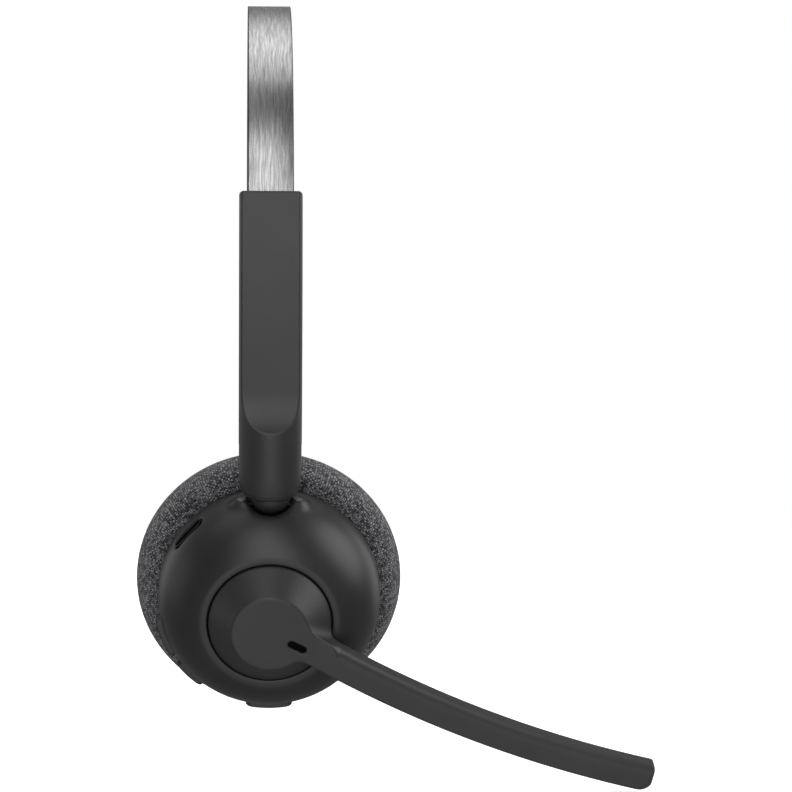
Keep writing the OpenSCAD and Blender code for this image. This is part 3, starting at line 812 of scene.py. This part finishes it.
def boom_field(x, y, z):
    """Arm and hub in one piece. The arm's outline is rounder at the tip's outer corner, and
    its inner edge is rounded off more from the hub outwards."""
    along, aside = arm_place(x, y)
    half = 3.45 - 0.2 * np.clip(along / BOOM_LENGTH, 0, 1)
    flank = smooth_max(aside - half, -half - aside, 0.01)
    tip_corner = 1.0 + 2.4 * smooth_step(-1.0, 2.5, aside)
    outline = smooth_max(flank, along - BOOM_LENGTH - 1.0, tip_corner)
    arm = smooth_max(outline, DISC_Z - BOOM_T - z, 0.7)
    arm = smooth_max(arm, z - DISC_Z, 0.5)
    near = 1 - smooth_step(9.0, 17.0, np.hypot(x, y))
    arm = smooth_max(arm, smooth_max(-half - aside, z - DISC_Z, 3.0) - 3.5 * near, 0.2)
    arm = np.maximum(arm, -along - 8)
    hub = np.maximum(cone_field(x, y, z), HUB_LOW - z)
    body = smooth_min(hub, arm, 2.2)
    body = smooth_max(body, z - DISC_Z, 0.3)
    body = np.maximum(body, -hub_hollow(x, y, z))
    # The channel that the inner cover closes
    channel = np.maximum(np.abs(aside) - COVER_HALF - 0.06, z - (DISC_Z - BOOM_T + COVER_T + 0.05))
    channel = np.maximum(channel, -along)
    body = np.maximum(body, -np.maximum(channel, along - BOOM_LENGTH + 1.6))
    # The second microphone's port in the disc
    port_x, port_y, port_turn, port_depth = 6.2, -3.2, math.radians(-27), 3
    c, s = math.cos(port_turn), math.sin(port_turn)
    px, py = x - port_x, y - port_y
    port = slot_field(px * c + py * s, py * c - px * s, 4.6, 1.7)
    return smooth_max(body, -np.maximum(port, DISC_Z - port_depth - z), 0.2)


def cover_field(x, y, z):
    """The strip that closes the arm's channel, with the microphone's hole near its end."""
    along, aside = arm_place(x, y)
    low = DISC_Z - BOOM_T
    body = smooth_max(np.abs(aside) - COVER_HALF, np.maximum(z - low - COVER_T, low - z), 0.3)
    ends = np.maximum(along - BOOM_LENGTH + 1.7, HUB_R + 0.2 - np.hypot(x, y))
    body = smooth_max(body, ends, 0.3)
    hole_at, hole_r = BOOM_END - math.radians(0.9), 1.3
    hole_x = BOOM_CENTRE[0] + BOOM_R * math.cos(hole_at)
    hole_y = BOOM_CENTRE[1] + BOOM_R * math.sin(hole_at)
    return smooth_max(body, hole_r - np.hypot(x - hole_x, y - hole_y), 0.2)


def make_boom():
    """The boom with its hub, and the cover on its inner side."""
    step = 0.25
    verts, faces = field_mesh(boom_field, (-15, -43.5, 26), (92, 15, 33.8), step)
    obj = add_mesh("boom_arm_shell", verts, faces, CUP)
    finish_piece(obj, "boom", MAT["boom_plastic"], "boom_plastic", "boom_arm")
    verts, faces = field_mesh(cover_field, (9, -43, 27.6), (91, -3, 29.6), step)
    obj = add_mesh("boom_inner_cover", verts, faces, CUP)
    finish_piece(obj, "boom", MAT["boom_plastic"], "boom_plastic", "boom_back_cover")


def make_left_cap():
    """The fixed cone and disc on the left cup."""
    def field(x, y, z):
        body = np.maximum(cone_field(x, y, z), FLOOR_Z - z)
        body = smooth_max(body, z - DISC_Z, 0.3)
        return np.maximum(body, -hub_hollow(x, y, z))

    step = 0.3
    verts, faces = field_mesh(field, (-15, -15, 23.6), (15, 15, 33.8), step)
    obj = add_mesh("left_hub_cone", verts, faces, CUP, True)
    finish_piece(obj, "left_cup", MAT["boom_plastic"], "boom_plastic", "left_hub_cap")


make_boom()
make_left_cap()


# ---------------------------------------------------------------- soft pieces

def weave_map(obj, place, mid_r, left):
    """A uv map in millimetres round a ring: along the ring and around its tube."""
    back = (MIRROR @ place).inverted() if left else place.inverted()
    pts = [back @ (v.co / MM) for v in obj.data.vertices]
    ring = [math.atan2(p.y, p.x) for p in pts]
    turn = [math.atan2(p.z, math.hypot(p.x, p.y) - mid_r) for p in pts]
    layer = obj.data.uv_layers.new(name="weave")
    for poly in obj.data.polygons:
        a0, b0 = ring[poly.vertices[0]], turn[poly.vertices[0]]
        for loop in poly.loop_indices:
            v = obj.data.loops[loop].vertex_index
            a = a0 + (ring[v] - a0 + math.pi) % (2 * math.pi) - math.pi
            b = b0 + (turn[v] - b0 + math.pi) % (2 * math.pi) - math.pi
            layer.data[loop].uv = (a * mid_r, b * CUSHION_TUBE_R)


def inflate(obj, pressure, cap, pins):
    """Swells a closed form as cloth under pressure, no point moving further than cap and
    the points that pins picks out held where they are."""
    settle_frames = 20
    remesh = obj.modifiers.new("remesh", "REMESH")
    remesh.mode = "VOXEL"
    remesh.voxel_size = 1.1 * MM
    apply_modifiers(obj)
    start = np.array([v.co for v in obj.data.vertices])
    group = obj.vertex_groups.new(name="held")
    group.add([i for i, v in enumerate(obj.data.vertices) if pins(v.co)], 1.0, "REPLACE")
    cloth = obj.modifiers.new("cloth", "CLOTH")
    cloth.settings.use_pressure = True
    cloth.settings.uniform_pressure_force = pressure
    cloth.settings.quality = 6
    cloth.settings.mass = 0.15
    cloth.settings.tension_stiffness = 25
    cloth.settings.compression_stiffness = 25
    cloth.settings.shear_stiffness = 10
    cloth.settings.bending_stiffness = 0.8
    cloth.settings.effector_weights.gravity = 0
    cloth.settings.vertex_group_mass = "held"
    cloth.collision_settings.use_collision = False
    scene = bpy.context.scene
    for f in range(1, settle_frames + 1):
        scene.frame_set(f)
    apply_modifiers(obj)
    scene.frame_set(1)
    moved = np.array([v.co for v in obj.data.vertices])
    shift = moved - start
    size = np.linalg.norm(shift, axis=1, keepdims=True)
    moved = start + shift * np.minimum(1, cap / np.maximum(size, 1e-9))
    obj.data.vertices.foreach_set("co", moved.ravel())
    sub = obj.modifiers.new("subdivide", "SUBSURF")
    sub.levels = sub.render_levels = 1
    apply_modifiers(obj)
    obj.data.polygons.foreach_set("use_smooth", [True] * len(obj.data.polygons))


def tube(name, points, r):
    """A closed tube of radius r along a loop of points, in millimetres."""
    sides = 8
    off_axis = Vector((0.31, 0.17, 0.94))   # never along the loop
    verts, faces, n = [], [], len(points)
    for i, p in enumerate(points):
        run = (points[(i + 1) % n] - points[i - 1]).normalized()
        across = run.cross(off_axis).normalized()
        up = run.cross(across)
        for k in range(sides):
            a = 2 * math.pi * k / sides
            verts.append(p + across * (r * math.cos(a)) + up * (r * math.sin(a)))
            faces.append((i * sides + k, i * sides + (k + 1) % sides,
                          (i + 1) % n * sides + (k + 1) % sides, (i + 1) % n * sides + k))
    return add_mesh(name, verts, faces)


def piping(obj, name, points, r, sink):
    """A sewn piping on a soft piece: the loop is laid on its surface, sunk a little."""
    laid = []
    for p in points:
        _, spot, normal, _ = obj.closest_point_on_mesh(p * MM)
        laid.append(spot / MM - normal * sink)
    return tube(name, laid, r)


def make_cushions():
    """A stuffed ring, flattened at the ear and at its back, with a seam round its opening."""
    start_r, face_z, count = 7.3, -6.9, 96
    seam_r, seam_z = 15.0, -0.6
    profile = []
    for i in range(24):
        a = 2 * math.pi * i / 24
        z = max(start_r * math.sin(a), face_z)
        profile.append((CUSHION_MID_R + start_r * math.cos(a), min(z, CUSHION_BACK - 0.3)))
    verts, faces = revolve(profile + profile[:1], count)
    n = len(profile) * count
    verts = verts[:n]
    faces = [[v % n for v in f] for f in faces]
    for side in SIDES:
        left = side == "left"
        obj = add_mesh(side + "_ear_cushion", verts, faces, CUP, left)
        place = (MIRROR @ CUP) if left else CUP
        back = place.inverted()
        inflate(obj, 3.0, 0.7 * MM, lambda co: (back @ (co / MM)).z > CUSHION_BACK - 0.9)
        weave_map(obj, CUP, CUSHION_MID_R, left)
        finish_piece(obj, side + "_cup", MAT["heather_fabric"], "heather_fabric", side + "_cushion")
        ring = []
        for i in range(160):
            a = 2 * math.pi * i / 160
            ring.append(place @ Vector((seam_r * math.cos(a), seam_r * math.sin(a), seam_z)))
        seam = piping(obj, side + "_cushion_seam", ring, 0.32, 0.1)
        finish_piece(seam, side + "_cup", MAT["leatherette"], "leatherette")


make_cushions()


def make_crown_pad():
    """A curved pad with full lower edges, pinched in at both ends, and piped round its side."""
    pad_r, rail_r, half_w = 73.0, 77.6, 5.0
    pipe_x, pipe_r = 7.0, 75.6
    centre_z = -pad_r
    half_angle = math.radians(33)
    verts, faces = [], []
    stations = 80
    section = []
    for cx, cy, r, a0 in ((half_w - 1.7, pad_r + 2.0, 1.5, 270), (half_w - 0.5, rail_r - 0.9, 0.45, 0),
                          (0.5 - half_w, rail_r - 0.9, 0.45, 90), (1.7 - half_w, pad_r + 2.0, 1.5, 180)):
        section += arc(cx, cy, r, a0, a0 + 90, 4)
    n = len(section)
    for i in range(stations + 1):
        t = -1 + 2 * i / stations
        a = half_angle * t * 0.985
        pinch = 1 - 0.35 * min(1, max(0, abs(t) - 0.94) / 0.06) ** 2
        for x, r in section:
            rr = rail_r + (r - rail_r) * pinch
            verts.append((x * (0.9 + 0.1 * pinch), rr * math.sin(a), centre_z + rr * math.cos(a)))
    for i in range(stations):
        for k in range(n):
            m = (k + 1) % n
            faces.append((i * n + k, (i + 1) * n + k, (i + 1) * n + m, i * n + m))
    faces.append(list(range(n)))
    faces.append(list(range(stations * n, stations * n + n))[::-1])
    obj = add_mesh("crown_pad_cover", verts, faces)
    inflate(obj, 2.5, 0.5 * MM, lambda co: math.hypot(co.y / MM, co.z / MM - centre_z) > rail_r - 0.7)
    finish_piece(obj, "headband", MAT["leatherette"], "leatherette", "crown_pad")
    edge = []
    for i in range(4 * stations):
        side = 1 if i < 2 * stations else -1
        t = (i % (2 * stations) + 0.5) / stations - 1
        a = half_angle * side * t * 0.99
        edge.append(Vector((side * pipe_x, pipe_r * math.sin(a), centre_z + pipe_r * math.cos(a))))
    pipe = piping(obj, "crown_pad_piping", edge, 0.35, 0.1)
    finish_piece(pipe, "headband", MAT["leatherette"], "leatherette")


make_crown_pad()


def make_scrims():
    """Fine mesh stretched over the driver: a shallow dome pulled into small folds at its rim."""
    edge_r, edge_z, bulge, thick, folds = 16.4, 7.75, 0.45, 0.2, 30
    rings, count = 14, 180
    for side in SIDES:
        verts, faces = [], []
        for sheet_z, under in ((edge_z, False), (edge_z - thick, True)):
            base = len(verts)
            verts.append((0, 0, sheet_z - bulge))
            for i in range(1, rings + 1):
                r = edge_r * i / rings
                dome = bulge * (1 - (r / edge_r) ** 2)
                for n in range(count):
                    a = 2 * math.pi * n / count
                    fold = 0.05 * (r / edge_r) ** 6 * math.cos(folds * a)
                    verts.append((r * math.cos(a), r * math.sin(a), sheet_z - dome + fold))
            for n in range(count):
                m = (n + 1) % count
                tri = (base, base + 1 + n, base + 1 + m)
                faces.append(tri[::-1] if under else tri)
                for i in range(rings - 1):
                    a, b = base + 1 + i * count, base + 1 + (i + 1) * count
                    quad = (a + n, b + n, b + m, a + m)
                    faces.append(quad[::-1] if under else quad)
        top, low = 1 + (rings - 1) * count, 2 + (2 * rings - 1) * count
        for n in range(count):
            m = (n + 1) % count
            faces.append((top + n, low + n, low + m, top + m))
        obj = add_mesh(side + "_driver_scrim", verts, faces, CUP, side == "left")
        finish_piece(obj, side + "_cup", MAT["scrim_cloth"], "scrim_cloth", side + "_scrim")


make_scrims()


# ---------------------------------------------------------------- floor, light and camera

def make_stage():
    """A pale matt floor just under the headset."""
    floor_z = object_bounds()[0].z - 0.5 * MM
    size = 40.0
    corners = ((-size, -size), (size, -size), (size, size), (-size, size))
    mesh = bpy.data.meshes.new("floor")
    mesh.from_pydata([(x, y, floor_z) for x, y in corners], [], [(0, 1, 2, 3)])
    floor = bpy.data.objects.new("floor", mesh)
    bpy.context.scene.collection.objects.link(floor)
    m = Nodes("pale_floor")
    m.shader.inputs["Base Color"].default_value = (0.92, 0.92, 0.92, 1)
    m.shader.inputs["Roughness"].default_value = 0.9
    m.shader.inputs["Specular IOR Level"].default_value = 0.0
    m.shader.inputs["Emission Color"].default_value = (1, 1, 1, 1)
    m.shader.inputs["Emission Strength"].default_value = 0.7
    mesh.materials.append(m.material)
    floor.visible_glossy = False
    floor.visible_diffuse = False


def make_lights():
    """A studio painted on the sky: soft boxes as bright patches in a dim room. The camera
    sees plain white behind the headset."""
    room_light = 0.18
    # Azimuth round from the right cup's side, elevation, inner and outer half angle, strength
    patches = (
        (0, 10, 5, 26, 2.0),
        (-8, 38, 4, 22, 2.0),
        (0, -24, 4, 24, 0.9),
        (0, -52, 20, 50, 0.45),
        (180, 68, 6, 27, 2.0),
        (84, 28, 8, 34, 2.4),
        (-75, 62, 6, 22, 0.7),
        (-98, 4, 4, 24, 0.5),
        (135, 12, 5, 24, 0.7),
        (225, 14, 5, 24, 0.6),
    )
    world = bpy.data.worlds.new("studio")
    world.use_nodes = True
    tree = world.node_tree
    out = tree.nodes["World Output"]
    room = tree.nodes["Background"]

    def add(kind, **settings):
        node = tree.nodes.new("ShaderNode" + kind)
        for key, value in settings.items():
            setattr(node, key, value)
        return node

    where = add("TexCoord").outputs["Generated"]
    total = None
    for azimuth, elevation, inner, outer, strength in patches:
        a, e = math.radians(azimuth), math.radians(elevation)
        dot = add("VectorMath", operation="DOT_PRODUCT")
        tree.links.new(where, dot.inputs[0])
        dot.inputs[1].default_value = (math.sin(a) * math.cos(e), -math.cos(a) * math.cos(e), math.sin(e))
        edge = add("MapRange", interpolation_type="SMOOTHERSTEP")
        tree.links.new(dot.outputs["Value"], edge.inputs["Value"])
        edge.inputs["From Min"].default_value = math.cos(math.radians(outer))
        edge.inputs["From Max"].default_value = math.cos(math.radians(inner))
        edge.inputs["To Max"].default_value = strength
        plus = add("Math", operation="ADD")
        tree.links.new(edge.outputs["Result"], plus.inputs[0])
        plus.inputs[1].default_value = room_light
        if total is not None:
            tree.links.new(total, plus.inputs[1])
        total = plus.outputs[0]
    room.inputs["Color"].default_value = (1, 1, 1, 1)
    tree.links.new(total, room.inputs["Strength"])
    seen = add("Background")
    seen.inputs["Color"].default_value = (1, 1, 1, 1)
    mix = add("MixShader")
    tree.links.new(add("LightPath").outputs["Is Camera Ray"], mix.inputs["Fac"])
    tree.links.new(room.outputs[0], mix.inputs[1])
    tree.links.new(seen.outputs[0], mix.inputs[2])
    tree.links.new(mix.outputs[0], out.inputs["Surface"])
    bpy.context.scene.world = world


def make_camera():
    """A long lens, level with the middle of the headset and facing the right cup."""
    data = bpy.data.cameras.new("camera")
    data.sensor_width = 36.0
    data.lens = 136.1818
    data.clip_start, data.clip_end = 0.05, 20.0
    obj = bpy.data.objects.new("camera", data)
    obj.location = (-0.0068, -0.752, -0.1216)
    yaw, pitch = math.radians(-2.97), math.radians(2.39)
    obj.rotation_euler = (math.radians(90) + pitch, 0, yaw)
    bpy.context.scene.collection.objects.link(obj)
    bpy.context.scene.camera = obj


make_stage()
make_lights()
make_camera()
bpy.context.scene.view_settings.view_transform = "Standard"
